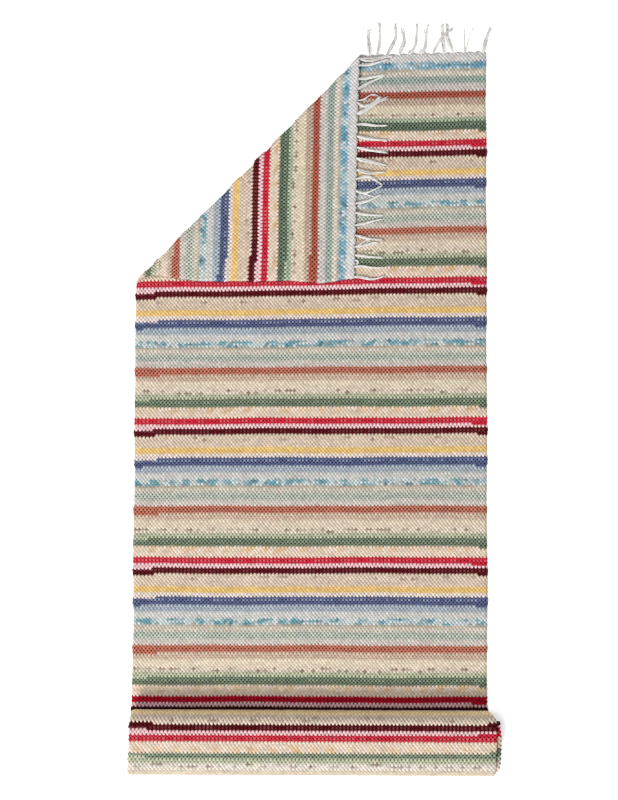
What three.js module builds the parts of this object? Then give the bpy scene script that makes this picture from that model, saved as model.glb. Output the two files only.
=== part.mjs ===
// Rag rug lying on a floor: one corner of its fringed end folded over, its far end rolled up on top.
// Millimetres, +Z up. The length of the rug runs along Y with the fringed end towards +Y.
import * as THREE from 'three';

const RUG = { half: 350, length: 2000, thick: 5 };
const HALF = RUG.thick / 2;

// The weft at the fringed end is beaten in a little aslant, and straightens out along the length.
const SLANT = { rise: 0.026, full: 250, gone: 700 };

// The corner that is folded over is pulled a little more aslant than the rest.
const SKEW = { rise: 0.0271, from: 100, full: 330, gone: 450 };

// The corner turns over along a line a little steeper than 45 degrees that meets the end of the rug at reach.
// It goes round a soft bend, and then settles.
const FOLD = { reach: 106.3, angle: Math.PI / 4 + 0.0129, radius: 5.5, settled: 6.3, settling: 35 };
const BEND = Math.PI * FOLD.radius;

// The far end is wound into a flattened roll: a front arc, a run back, a rear arc, a run forward, and so on.
// Each turn creeps a little to the right of the one outside it.
const ROLL = { start: 1402, radius: 20, run: 82, pitch: 6.4, creep: 0.036, arcSteps: 10 };

// How far each selvage stands outside the nominal width, by distance from the fringed end.
const SELVAGE = [
  // from end, left, right
  [0, 7, 1],
  [18, 8, 2],
  [40, 12, 1],
  [64, 15, 1],
  [98, 12, 0],
  [130, 8, 1],
  [190, 8, 2],
  [230, 7, 1],
  [290, 6, 0],
  [320, 4, 1],
  [358, -2, 1],
  [402, -8, 2],
  [425, -6, 2],
  [446, -1, 2],
  [480, 0, 1],
  [520, 0, 1],
  [580, 1, 0],
  [660, 0, 1],
  [740, 1, 2],
  [820, -1, 1],
  [900, 0, 0],
  [980, 1, 1],
  [1060, 0, 2],
  [1140, -1, 1],
  [1220, 0, 0],
  [1320, 1, 1],
  [ROLL.start, 0, 1],
  [1450, 1, 6],
  [1530, 1, 6],
  [1556, 1, 3],
  [1580, 1, -10],
  [1606, 1, -12],
  [1650, 1, -4],
  [1690, 1, 0],
  [1730, 1, 7],
  [1780, 1, 7],
  [1815, 1, 0],
  [1850, 1, -4],
  [RUG.length, 0, -10],
];

// Warps between the selvages keep their places, so only the outer strips of the width stretch.
const ACROSS = [-1, -0.84, -0.5, -0.16, 0.16, 0.5, 0.84, 1];

const STRIP = { gap: 0.3, depth: 3, back: HALF, face: 1.5 };
const LOCK = { rootWide: 7, rootHigh: 4, tipWide: 4, tipHigh: 3, clear: 0.3 };

// Warp ends of the flat part: root across the width, then the bend and the tip as offsets aside and outwards.
const FLAT_LOCKS = [
  // root, bend aside, bend out, tip aside, tip out
  [123, -2, 24, -4, 46],
  [135, 6, 20, 7, 58],
  [154, 12, 24, 14, 62],
  [178.5, 8, 22, 2, 50],
  [201, 11, 22, 13, 60],
  [225, 9, 21, 9, 58],
  [245.5, 9, 26, 13, 44],
  [270, -1, 32, -2, 60],
  [286.5, -5, 26, -9, 52],
  [310, -1, 28, -2, 56],
  [320.5, 4, 26, 11, 52],
  [345, 6, 24, 13, 44],
];

// Warp ends of the folded part, in the same columns, with the root measured across the unfolded width.
const FOLDED_LOCKS = [
  [73, 4, 30, 9, 58],
  [48, -3, 28, 4, 60],
  [24, 5, 32, 3, 62],
  [-1, -4, 30, -9, 59],
  [-25, 3, 27, 8, 61],
  [-46, -2, 31, -6, 63],
  [-71, 4, 29, 2, 60],
  [-94, -5, 30, -8, 62],
  [-114, 2, 33, 6, 59],
  [-137, -3, 28, -7, 62],
  [-158, 4, 31, 7, 61],
  [-179, -2, 30, 3, 58],
  [-203, 3, 29, -4, 62],
  [-225, -4, 32, -8, 60],
  [-250, 4, 28, 8, 61],
  [-268, -3, 30, 2, 63],
  [-291, 2, 31, -5, 60],
  [-311, -2, 29, 4, 62],
  [-330, 3, 30, 6, 61],
  [-351, -2, 31, -5, 62],
];

const FLAT_STRIP = { from: 118, to: 350 };
const FOLDED_STRIP = { from: -356, to: 80 };

// Folding moves points along the outward side of the fold line.
const OUT = new THREE.Vector3(-Math.sin(FOLD.angle), Math.cos(FOLD.angle), 0);
const UP = new THREE.Vector3(0, 0, 1);

function smooth(low, high, value) {
  const part = Math.min(1, Math.max(0, (value - low) / (high - low)));
  return part * part * (3 - 2 * part);
}

function fromTable(table, column, key) {
  let row = 0;
  while (row < table.length - 2 && key > table[row + 1][0]) {
    row += 1;
  }
  const [low, high] = [table[row], table[row + 1]];
  const part = Math.min(1, Math.max(0, (key - low[0]) / (high[0] - low[0])));
  return low[column] + part * (high[column] - low[column]);
}

// Height of the end's slanting edge above its middle, and of every weft row below it.
function slant(x, along) {
  const even = SLANT.rise * x * (1 - smooth(SLANT.full, SLANT.gone, along));
  const pulled = SKEW.rise * Math.min(0, x - SKEW.from) * (1 - smooth(SKEW.full, SKEW.gone, along));
  return even + pulled;
}

// A point of the cloth spread out flat, from its place across (-1 to 1) and along.
function spread(across, along) {
  const edge = Math.max(0, (Math.abs(across) - 0.84) / 0.16);
  const bulge = edge * fromTable(SELVAGE, across < 0 ? 1 : 2, along);
  const x = across * RUG.half + Math.sign(across) * bulge;
  return [x, slant(x, along) - along];
}

function foldDistance(x, y) {
  return (x - FOLD.reach) * OUT.x + y * OUT.y;
}

// Middle of the cloth and the direction its face looks, where it goes over the fold.
function overFold(x, y, q) {
  const foot = new THREE.Vector3(x, y, HALF).addScaledVector(OUT, -q);
  if (q <= BEND) {
    const angle = q / FOLD.radius;
    foot.addScaledVector(OUT, FOLD.radius * Math.sin(angle));
    foot.addScaledVector(UP, FOLD.radius * (1 - Math.cos(angle)));
    const face = OUT.clone().multiplyScalar(-Math.sin(angle)).addScaledVector(UP, Math.cos(angle));
    return { at: foot, face };
  }
  const past = q - BEND;
  const drop = 1 + (past / FOLD.settling) ** 2;
  const extra = 2 * FOLD.radius - FOLD.settled;
  foot.addScaledVector(OUT, -past).addScaledVector(UP, FOLD.settled + extra / drop);
  const slope = (-2 * extra * past) / FOLD.settling ** 2 / drop ** 2;
  const face = OUT.clone().multiplyScalar(-slope).addScaledVector(UP, -1).normalize();
  return { at: foot, face };
}

// The stretches of the roll: where each starts along the cloth, and its arc or run.
function rollStretches() {
  const stretches = [];
  let along = ROLL.start;
  let radius = ROLL.radius;
  let low = HALF;
  for (let half = 0; along < RUG.length; half += 1) {
    const front = half % 2 === 0;
    const middle = front ? low + radius : low - radius;
    stretches.push({ kind: 'arc', front, along, radius, middle, length: Math.PI * radius });
    along += Math.PI * radius;
    low = front ? middle + radius : middle - radius;
    stretches.push({ kind: 'run', front, along, level: low, length: ROLL.run });
    along += ROLL.run;
    radius -= ROLL.pitch / 2;
  }
  return stretches;
}

const STRETCHES = rollStretches();

function overRoll(x, along) {
  const stretch = STRETCHES.findLast((one) => along >= one.along - 1e-6);
  const gone = along - stretch.along;
  const sign = stretch.front ? 1 : -1;
  const shifted = x + ROLL.creep * (along - ROLL.start);
  if (stretch.kind === 'run') {
    const forward = stretch.front ? ROLL.start - gone : ROLL.start - ROLL.run + gone;
    const at = new THREE.Vector3(shifted, -forward, stretch.level);
    return { at, face: new THREE.Vector3(0, 0, -sign) };
  }
  const angle = gone / stretch.radius;
  const centre = stretch.front ? ROLL.start : ROLL.start - ROLL.run;
  const forward = centre + sign * stretch.radius * Math.sin(angle);
  const height = stretch.middle - sign * stretch.radius * Math.cos(angle);
  const at = new THREE.Vector3(shifted, -forward, height);
  return { at, face: new THREE.Vector3(0, sign * Math.sin(angle), sign * Math.cos(angle)) };
}

// Where a point of the spread-out cloth lies once the corner is folded and the end rolled.
function lay(x, y) {
  const q = foldDistance(x, y);
  if (q > 0) {
    return overFold(x, y, q);
  }
  if (-y > ROLL.start) {
    return overRoll(x, -y);
  }
  return { at: new THREE.Vector3(x, y, HALF), face: UP.clone() };
}

// Rows across the cloth: the selvage table's, and enough round each arc of the roll.
function rowsAlong() {
  const rows = SELVAGE.map((row) => row[0]).filter((along) => along <= ROLL.start);
  for (const stretch of STRETCHES) {
    const steps = stretch.kind === 'arc' ? ROLL.arcSteps : 1;
    for (let step = 1; step <= steps; step += 1) {
      const along = stretch.along + (stretch.length * step) / steps;
      if (along < RUG.length - 1) {
        rows.push(along);
      }
    }
  }
  rows.push(RUG.length);
  return rows;
}

// Cuts a convex outline along the line at one distance from the fold.
function cutAt(outline, level) {
  const off = outline.map(([x, y]) => foldDistance(x, y) - level);
  const parts = [[], []];
  outline.forEach((point, index) => {
    const next = (index + 1) % outline.length;
    const here = Math.abs(off[index]) < 1e-6 ? 0 : off[index];
    const there = Math.abs(off[next]) < 1e-6 ? 0 : off[next];
    if (here <= 0) {
      parts[0].push(point);
    }
    if (here >= 0) {
      parts[1].push(point);
    }
    if (here * there < 0) {
      const part = here / (here - there);
      const other = outline[next];
      const crossing = [point[0] + part * (other[0] - point[0]), point[1] + part * (other[1] - point[1])];
      parts[0].push(crossing);
      parts[1].push(crossing);
    }
  });
  return parts.filter((part) => part.length > 2);
}

// Lines along the fold where the bent cloth gets an edge.
function foldLevels() {
  const levels = [];
  for (let step = 0; step <= 8; step += 1) {
    levels.push((BEND * step) / 8);
  }
  for (const past of [9, 19, 31, 46, 68, 100, 150]) {
    levels.push(BEND + past);
  }
  return levels;
}

function spreadOutlines() {
  const rows = rowsAlong();
  let outlines = [];
  for (let row = 0; row + 1 < rows.length; row += 1) {
    for (let column = 0; column + 1 < ACROSS.length; column += 1) {
      const [near, far] = [rows[row], rows[row + 1]];
      const [left, right] = [ACROSS[column], ACROSS[column + 1]];
      const corners = [spread(left, far), spread(right, far), spread(right, near), spread(left, near)];
      outlines.push([corners[0], corners[1], corners[2]]);
      outlines.push([corners[0], corners[2], corners[3]]);
    }
  }
  for (const level of foldLevels()) {
    outlines = outlines.flatMap((outline) => cutAt(outline, level));
  }
  return outlines;
}

function geometryFrom(points, faces) {
  const geometry = new THREE.BufferGeometry();
  const flat = points.flatMap((point) => [point.x, point.y, point.z]);
  geometry.setAttribute('position', new THREE.Float32BufferAttribute(flat, 3));
  geometry.setIndex(faces.flat());
  geometry.computeVertexNormals();
  return geometry;
}

// The whole rug as one closed solid: face, back and edge walls.
function clothGeometry() {
  const indexOf = new Map();
  const middles = [];
  const number = ([x, y]) => {
    const key = `${x.toFixed(3)},${y.toFixed(3)}`;
    if (!indexOf.has(key)) {
      indexOf.set(key, middles.length);
      middles.push(lay(x, y));
    }
    return indexOf.get(key);
  };
  const triangles = [];
  for (const outline of spreadOutlines()) {
    const corners = outline.map(number);
    for (let corner = 1; corner + 1 < corners.length; corner += 1) {
      const triangle = [corners[0], corners[corner], corners[corner + 1]];
      if (new Set(triangle).size === 3) {
        triangles.push(triangle);
      }
    }
  }
  const count = middles.length;
  const side = (offset) => middles.map(({ at, face }) => at.clone().addScaledVector(face, offset));
  const points = [...side(HALF), ...side(-HALF)];
  const faces = [];
  const edges = new Map();
  for (const [a, b, c] of triangles) {
    faces.push([a, b, c], [c + count, b + count, a + count]);
    for (const [from, to] of [[a, b], [b, c], [c, a]]) {
      edges.set(`${from},${to}`, [from, to]);
    }
  }
  for (const [from, to] of edges.values()) {
    if (!edges.has(`${to},${from}`)) {
      faces.push([from, from + count, to + count], [from, to + count, to]);
    }
  }
  return geometryFrom(points, faces);
}

// One lock's rings: from its root on the strip to its tip, low on whatever it lies on.
function lockRings(root, aim, row, floor) {
  const [, bendAside, bendOut, tipAside, tipOut] = row;
  const rings = [];
  const stations = [0.2, 0.42, 0.7, 1];
  const bendAt = bendOut / tipOut;
  for (const station of stations) {
    const early = Math.min(1, station / bendAt);
    const late = Math.max(0, (station - bendAt) / (1 - bendAt));
    const aside = bendAside * early + (tipAside - bendAside) * late;
    const wide = LOCK.rootWide + (LOCK.tipWide - LOCK.rootWide) * station;
    const high = LOCK.rootHigh + (LOCK.tipHigh - LOCK.rootHigh) * station;
    const centre = root.clone().addScaledVector(aim.aside, aside).addScaledVector(aim.out, tipOut * station);
    centre.z = floor + high / 2;
    const corner = (right, up) =>
      centre
        .clone()
        .addScaledVector(aim.aside, (right * wide) / 2)
        .addScaledVector(aim.up, (up * high) / 2);
    rings.push([corner(-1, -1), corner(1, -1), corner(1, 1), corner(-1, 1)]);
  }
  return rings;
}

// A narrow strip along the end of the cloth with its locks growing out of it, as one closed solid.
function fringeGeometry(strip, rows, aim, floor) {
  const locks = rows.toSorted((one, other) => one[0] - other[0]);
  const stations = [strip.from];
  for (const [root] of locks) {
    stations.push(root - LOCK.rootWide / 2, root + LOCK.rootWide / 2);
  }
  stations.push(strip.to);
  const points = [];
  const faces = [];
  const add = (point) => points.push(point) - 1;
  const quad = (a, b, c, d) => faces.push([a, b, c], [a, c, d]);
  const corners = stations.map((x) => {
    const at = (out, offset) => {
      const middle = lay(x, slant(x, 0) + out);
      return add(middle.at.addScaledVector(middle.face, offset));
    };
    const [near, far] = [STRIP.gap, STRIP.gap + STRIP.depth];
    return {
      innerBack: at(near, -STRIP.back),
      innerFace: at(near, STRIP.face),
      outerBack: at(far, -STRIP.back),
      outerFace: at(far, STRIP.face),
    };
  });
  corners.slice(1).forEach((next, index) => {
    const here = corners[index];
    quad(here.innerFace, next.innerFace, next.outerFace, here.outerFace);
    quad(here.outerBack, next.outerBack, next.innerBack, here.innerBack);
    quad(here.innerBack, next.innerBack, next.innerFace, here.innerFace);
    if (index % 2 === 0) {
      quad(next.outerBack, here.outerBack, here.outerFace, next.outerFace);
      return;
    }
    const lock = locks[(index - 1) / 2];
    const root = lay(lock[0], slant(lock[0], 0) + STRIP.gap + STRIP.depth).at;
    let ring = [here.outerBack, next.outerBack, next.outerFace, here.outerFace];
    for (const places of lockRings(root, aim, lock, floor)) {
      const further = places.map(add);
      for (let edge = 0; edge < 4; edge += 1) {
        const turned = (edge + 1) % 4;
        quad(ring[turned], ring[edge], further[edge], further[turned]);
      }
      ring = further;
    }
    quad(ring[1], ring[0], ring[3], ring[2]);
  });
  const [first, last] = [corners[0], corners.at(-1)];
  quad(first.innerBack, first.innerFace, first.outerFace, first.outerBack);
  quad(last.outerBack, last.outerFace, last.innerFace, last.innerBack);
  return geometryFrom(points, faces);
}

const FLAT_AIM = {
  aside: new THREE.Vector3(1, 0, 0),
  out: new THREE.Vector3(0, 1, 0),
  up: new THREE.Vector3(0, 0, 1),
};

// Folding over mirrors aside and outwards in the fold line and turns the cloth upside down.
const FOLDED_AIM = {
  aside: new THREE.Vector3(Math.cos(2 * FOLD.angle), Math.sin(2 * FOLD.angle), 0),
  out: new THREE.Vector3(Math.sin(2 * FOLD.angle), -Math.cos(2 * FOLD.angle), 0),
  up: new THREE.Vector3(0, 0, -1),
};

const ragWeave = new THREE.MeshStandardMaterial({ name: 'rag_weave', color: 0xc9b29f, roughness: 0.95 });
const warpFringe = new THREE.MeshStandardMaterial({ name: 'warp_fringe', color: 0xe4e0d8, roughness: 0.95 });

function named(name, geometry, material) {
  const mesh = new THREE.Mesh(geometry, material);
  mesh.name = name;
  return mesh;
}

function rug() {
  const group = new THREE.Group();
  group.name = 'rag_rug';
  group.add(named('rug_cloth', clothGeometry(), ragWeave));
  group.add(named('fringe_flat', fringeGeometry(FLAT_STRIP, FLAT_LOCKS, FLAT_AIM, 0), warpFringe));
  const onFace = RUG.thick + LOCK.clear;
  group.add(named('fringe_folded', fringeGeometry(FOLDED_STRIP, FOLDED_LOCKS, FOLDED_AIM, onFace), warpFringe));
  const box = new THREE.Box3().setFromObject(group);
  const middle = box.getCenter(new THREE.Vector3());
  for (const mesh of group.children) {
    mesh.geometry.translate(-middle.x, -middle.y, -box.min.z);
  }
  return group;
}

export default rug();
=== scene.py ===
"""A striped rag rug on a pale floor, one fringed corner folded over and the far end rolled up on top."""

import logging
import math
from dataclasses import dataclass, field, replace
from enum import Enum

import bpy
import numpy as np
from mathutils import Matrix, Vector

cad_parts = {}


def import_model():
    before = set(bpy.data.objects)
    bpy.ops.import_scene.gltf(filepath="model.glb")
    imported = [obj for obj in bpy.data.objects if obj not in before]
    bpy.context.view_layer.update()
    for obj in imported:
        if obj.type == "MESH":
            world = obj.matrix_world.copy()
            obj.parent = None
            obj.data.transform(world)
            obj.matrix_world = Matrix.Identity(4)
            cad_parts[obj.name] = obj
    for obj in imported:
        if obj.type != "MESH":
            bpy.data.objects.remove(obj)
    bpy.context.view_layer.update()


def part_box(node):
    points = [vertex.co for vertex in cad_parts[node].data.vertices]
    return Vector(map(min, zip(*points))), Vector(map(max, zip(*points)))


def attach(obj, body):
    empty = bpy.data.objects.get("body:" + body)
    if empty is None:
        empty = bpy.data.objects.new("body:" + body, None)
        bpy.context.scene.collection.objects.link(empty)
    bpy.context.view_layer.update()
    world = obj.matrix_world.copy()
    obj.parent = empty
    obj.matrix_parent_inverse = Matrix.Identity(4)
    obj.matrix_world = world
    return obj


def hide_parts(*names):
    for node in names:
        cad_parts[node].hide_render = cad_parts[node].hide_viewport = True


logging.basicConfig(level=logging.INFO, format="%(message)s")
LOG = logging.getLogger("rag_rug")

Array = np.ndarray

MM = 0.001
IMAGE_HEIGHT = 800
SENSOR_HEIGHT = 36.0
WARPS = 192
# how far the cloth's left selvage reaches past half its width, in millimetres
LEFT_BULGE = 1.0
# less than any step of the weave, in millimetres
HAIR = 1e-6
# the screen's curve from stored values to light
SCREEN_KNEE = 0.04045
SCREEN_SLOPE = 12.92
SCREEN_OFFSET = 0.055
SCREEN_POWER = 2.4
# places of the colour sockets on a mix node
MIX_FACTOR, MIX_ONE, MIX_OTHER = 0, 6, 7
MIX_RESULT = 2


def smooth_step(low: float, high: float, value: Array) -> Array:
    """Ease from 0 to 1 between two values.

    Args:
        low: Where the result leaves 0.
        high: Where the result reaches 1.
        value: Values to ease.

    Returns:
        The eased values, from 0 to 1.
    """
    part = np.clip((np.asarray(value, float) - low) / (high - low), 0.0, 1.0)
    return part * part * (3.0 - 2.0 * part)


def linear(colour: str) -> Array:
    """Turn a screen colour such as d93a4c into linear light.

    Args:
        colour: Six hexadecimal digits.

    Returns:
        Three linear values.
    """
    screen = np.array([int(colour[k : k + 2], 16) / 255.0 for k in (0, 2, 4)])
    bright = ((screen + SCREEN_OFFSET) / (1.0 + SCREEN_OFFSET)) ** SCREEN_POWER
    return np.where(screen <= SCREEN_KNEE, screen / SCREEN_SLOPE, bright)


@dataclass(frozen=True)
class Stretch:
    """One arc or straight run of the wound end, in millimetres along the cloth."""

    is_arc: bool
    front: bool
    along: float
    radius: float
    level: float


@dataclass(frozen=True)
class Laying:
    """How the spread-out rug lies: its corner folded over, its far end rolled. Millimetres."""

    half: float = 350.0
    length: float = 2000.0
    thick: float = 5.0
    slant_rise: float = 0.026
    slant_full: float = 250.0
    slant_gone: float = 700.0
    skew_rise: float = 0.0271
    skew_from: float = 100.0
    skew_full: float = 330.0
    skew_gone: float = 450.0
    fold_reach: float = 106.3
    fold_angle: float = math.pi / 4.0 + 0.0129
    fold_radius: float = 5.5
    fold_settled: float = 6.3
    fold_settling: float = 35.0
    roll_start: float = 1402.0
    roll_radius: float = 20.0
    roll_run: float = 82.0
    roll_pitch: float = 6.4
    roll_creep: float = 0.036
    stretch_from: float = 0.84
    # distance from the fringed end, left bulge, right bulge
    selvage: tuple[tuple[float, float, float], ...] = (
        (0, 7, 1),
        (18, 8, 2),
        (40, 12, 1),
        (64, 15, 1),
        (98, 12, 0),
        (130, 8, 1),
        (190, 8, 2),
        (230, 7, 1),
        (290, 6, 0),
        (320, 4, 1),
        (358, -2, 1),
        (402, -8, 2),
        (425, -6, 2),
        (446, -1, 2),
        (480, 0, 1),
        (520, 0, 1),
        (580, 1, 0),
        (660, 0, 1),
        (740, 1, 2),
        (820, -1, 1),
        (900, 0, 0),
        (980, 1, 1),
        (1060, 0, 2),
        (1140, -1, 1),
        (1220, 0, 0),
        (1320, 1, 1),
        (1402, 0, 1),
        (1450, 1, 6),
        (1530, 1, 6),
        (1556, 1, 3),
        (1580, 1, -10),
        (1606, 1, -12),
        (1650, 1, -4),
        (1690, 1, 0),
        (1730, 1, 7),
        (1780, 1, 7),
        (1815, 1, 0),
        (1850, 1, -4),
        (2000, 0, -10),
    )

    # distance from the fringed end, then how far the picks lag at left, middle and right
    beat_at: tuple[float, float, float] = (-300.0, 0.0, 300.0)
    beat: tuple[tuple[float, float, float, float], ...] = (
        (30, -1, 2.5, 0),
        (60, -3.5, 0.5, 0.5),
        (100, -4.5, 0, 2),
        (140, -2.5, 2, 3),
        (165, -1, 3, 4),
        (230, 0, 4, 4.5),
        (290, 0, 5, 4),
        (350, 0, 4, 3),
        (420, 0, 1, 0.5),
        (460, 4, 2, 0),
        (600, 4.5, 2.5, -2),
        (730, 4, 1.5, -1),
        (800, 3.5, 1, -1.5),
        (920, 2, 0, -1),
        (1050, 1, 0, -1),
        (1180, 0, 0, 0),
    )

    def lag(self, x: Array, along: Array) -> Array:
        """How far picks lag behind their even places, from uneven beating.

        Args:
            x: Places across the rug.
            along: Distances from the fringed end.

        Returns:
            Distances towards the rolled end.
        """
        table = np.array(self.beat)
        left, middle, right = (np.interp(along, table[:, 0], table[:, column]) for column in (1, 2, 3))
        west, centre, east = self.beat_at
        leaning = np.clip((x - centre) / (centre - west), -1.0, 0.0)
        other = np.clip((x - centre) / (east - centre), 0.0, 1.0)
        return middle + (middle - left) * leaning + (right - middle) * other

    def slant(self, x: Array, along: Array) -> Array:
        """Rise of a weft row above the middle of the rug.

        Args:
            x: Places across the rug.
            along: Distances from the fringed end.

        Returns:
            How far each point lies towards the fringed end.
        """
        even = self.slant_rise * x * (1.0 - smooth_step(self.slant_full, self.slant_gone, along))
        share = 1.0 - smooth_step(self.skew_full, self.skew_gone, along)
        pulled = np.minimum(x - self.skew_from, 0.0) * share
        return even + self.skew_rise * pulled

    def spread(self, across: Array, along: Array) -> tuple[Array, Array]:
        """Place lattice points on the cloth spread out flat.

        Args:
            across: Places across the rug, from -1 to 1.
            along: Distances from the fringed end.

        Returns:
            The x and y of each point.
        """
        table = np.array(self.selvage, float)
        left = np.interp(along, table[:, 0], table[:, 1])
        right = np.interp(along, table[:, 0], table[:, 2])
        edge = np.clip((np.abs(across) - self.stretch_from) / (1.0 - self.stretch_from), 0.0, 1.0)
        bulge = np.where(across < 0, -left, right) * edge
        x = across * self.half + bulge
        return x, self.slant(x, along) - along - self.lag(x, along)

    def fold_out(self) -> Array:
        """Direction square to the fold line, from the part that stays down.

        Returns:
            A unit vector along the floor.
        """
        return np.array([-math.sin(self.fold_angle), math.cos(self.fold_angle), 0.0])

    def past_fold(self, x: Array, y: Array) -> Array:
        """Distance of spread-out points past the fold line, negative on the part that stays down.

        Args:
            x: Places across the rug.
            y: Places along the rug.

        Returns:
            Distances square to the fold line.
        """
        out = self.fold_out()
        return (x - self.fold_reach) * out[0] + y * out[1]

    def stretches(self) -> list[Stretch]:
        """List the arcs and runs of the roll in the order the cloth passes them.

        Returns:
            The stretches up to the end of the cloth.
        """
        found: list[Stretch] = []
        along = self.roll_start
        radius = self.roll_radius
        level = self.thick / 2.0
        front = True
        while along < self.length:
            middle = level + radius if front else level - radius
            found.append(Stretch(True, front, along, radius, middle))
            along += math.pi * radius
            level = middle + radius if front else middle - radius
            found.append(Stretch(False, front, along, radius, level))
            along += self.roll_run
            radius -= self.roll_pitch / 2.0
            front = not front
        return found

    def _fold(self, at: Array, face: Array, past: Array) -> None:
        """Turn the points past the fold line over it, in place.

        Args:
            at: Middle points of the cloth.
            face: Directions that its face looks.
            past: Distances past the fold line.
        """
        out = self.fold_out()
        bend = math.pi * self.fold_radius
        on = past > 0
        angle = np.clip(past[on] / self.fold_radius, 0.0, math.pi)
        flap = np.maximum(past[on] - bend, 0.0)
        drop = 1.0 + (flap / self.fold_settling) ** 2
        extra = 2.0 * self.fold_radius - self.fold_settled
        over = flap > 0
        bent = self.fold_radius * (1.0 - np.cos(angle))
        lift = np.where(over, self.fold_settled + extra / drop, bent)
        move = np.where(over, -flap, self.fold_radius * np.sin(angle))
        slope = -2.0 * extra * flap / self.fold_settling**2 / drop**2
        at[on] += out * (move - past[on])[:, None]
        at[on, 2] += lift
        aside = np.where(over, -slope, -np.sin(angle))
        upward = np.where(over, -1.0, np.cos(angle))
        turned = out * aside[:, None]
        turned[:, 2] += upward
        face[on] = turned / np.linalg.norm(turned, axis=1, keepdims=True)

    def _roll(self, at: Array, face: Array, along: Array) -> None:
        """Wind the points past the start of the roll, in place.

        Args:
            at: Middle points of the cloth.
            face: Directions that its face looks.
            along: Distances from the fringed end.
        """
        stretches = self.stretches()
        starts = np.array([one.along for one in stretches])
        which = np.searchsorted(starts, along + HAIR) - 1
        for index, one in enumerate(stretches):
            on = which == index
            gone = along[on] - one.along
            sign = 1.0 if one.front else -1.0
            centre = self.roll_start if one.front else self.roll_start - self.roll_run
            at[on, 0] += self.roll_creep * (along[on] - self.roll_start)
            if one.is_arc:
                angle = gone / one.radius
                at[on, 1] = -(centre + sign * one.radius * np.sin(angle))
                at[on, 2] = one.level - sign * one.radius * np.cos(angle)
                face[on, 1] = sign * np.sin(angle)
                face[on, 2] = sign * np.cos(angle)
            else:
                at[on, 1] = -(centre - sign * gone)
                at[on, 2] = one.level
                face[on, 1] = 0.0
                face[on, 2] = -sign

    def lay(self, x: Array, y: Array) -> tuple[Array, Array]:
        """Find where points of the spread-out cloth lie once it is folded and rolled.

        Args:
            x: Places across the rug.
            y: Places along the rug.

        Returns:
            The middle of the cloth at each point, and the direction its face looks.
        """
        at = np.stack([x, y, np.full_like(x, self.thick / 2.0)], axis=1)
        face = np.zeros_like(at)
        face[:, 2] = 1.0
        self._fold(at, face, self.past_fold(x, y))
        self._roll(at, face, -y)
        return at, face


class Pattern(Enum):
    """How a rag's colour runs along a pick."""

    PLAIN = "plain"
    PRINT = "print"
    FLECK = "fleck"
    SLASH = "slash"
    DASH = "dash"
    # lighter dots on the high spots of the middle pick: painted highlight, partly a lighter rag mixed in
    DOTS = "dots"
    LINE = "line"

    def takes(self) -> tuple[float, float]:
        """Say how much of the accent colour a rag takes.

        Returns:
            The shares that its high spots and its low spots take.
        """
        # dots put the accent on the high spots only, as a painted highlight
        unlike = {Pattern.FLECK: (0.75, 1.0), Pattern.DASH: (0.7, 1.0), Pattern.DOTS: (1.0, 0.0)}
        return unlike.get(self, (1.0, 0.8))


@dataclass(frozen=True)
class Rag:
    """One stripe of the chart: its rag, how many picks it has and how high they stand together."""

    name: str
    picks: int
    height: float
    # colour of the high spots: the rag's own colour, lightened on the dark rags as a painted highlight
    peak: str
    # colour of the low spots: the rag's own colour darkened with painted shade in the pits
    deep: str
    pattern: Pattern = Pattern.PLAIN
    # accent: print, flecks, slashes and lines of the rag itself; on the dots pattern it is a painted
    # highlight, partly a lighter rag mixed in
    accent: str = "000000"
    accent_share: float = 0.0
    sticks_out: float = 0.0
    lean: float = 0.12


# distance from the fringed end, rag, the pick's place in its stripe, the stripe's place in the rug
ChartRow = tuple[float, Rag, int, int]

# each rag lists its high-spot colour, lightened on the dark rags as a painted highlight, then its low-spot
# colour, darkened as painted shade in the pits; the dots accents are painted highlights
HEM = Rag("hem", 4, 16.5, "dbd8d6", "c4c1be", lean=0.09)
OPENING: tuple[Rag, ...] = (
    Rag("turquoise", 3, 15.0, "7aacbf", "417a90", Pattern.PRINT, "d0dcde", -0.08, lean=0.06),
    Rag("tan", 3, 14.3, "e0d8ca", "b2a898", Pattern.LINE, "a5957c"),
    Rag("sage", 3, 15.0, "b2beb6", "5c6e64", lean=0.03),
    Rag("lilac", 3, 15.0, "d6cdc6", "aea5a0"),
    Rag("rust", 3, 13.5, "c46956", "3e140f", lean=0.04),
    Rag("brown", 3, 14.3, "ceb6a3", "8c7564"),
    Rag("cream", 3, 12.3, "e3d5be", "c7b79d"),
    Rag("fleck", 3, 11.7, "e5d7c5", "baaa97", Pattern.FLECK, "6d452f"),
    Rag("light_green", 2, 8.0, "bec6af", "596e4b", lean=0.04),
    Rag("dark_green", 4, 17.5, "748370", "121b13", Pattern.DOTS, "9fb096", lean=0.03),
    Rag("slash", 5, 18.5, "e9d8c5", "c7b19c", Pattern.SLASH, "dfae62"),
)
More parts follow.
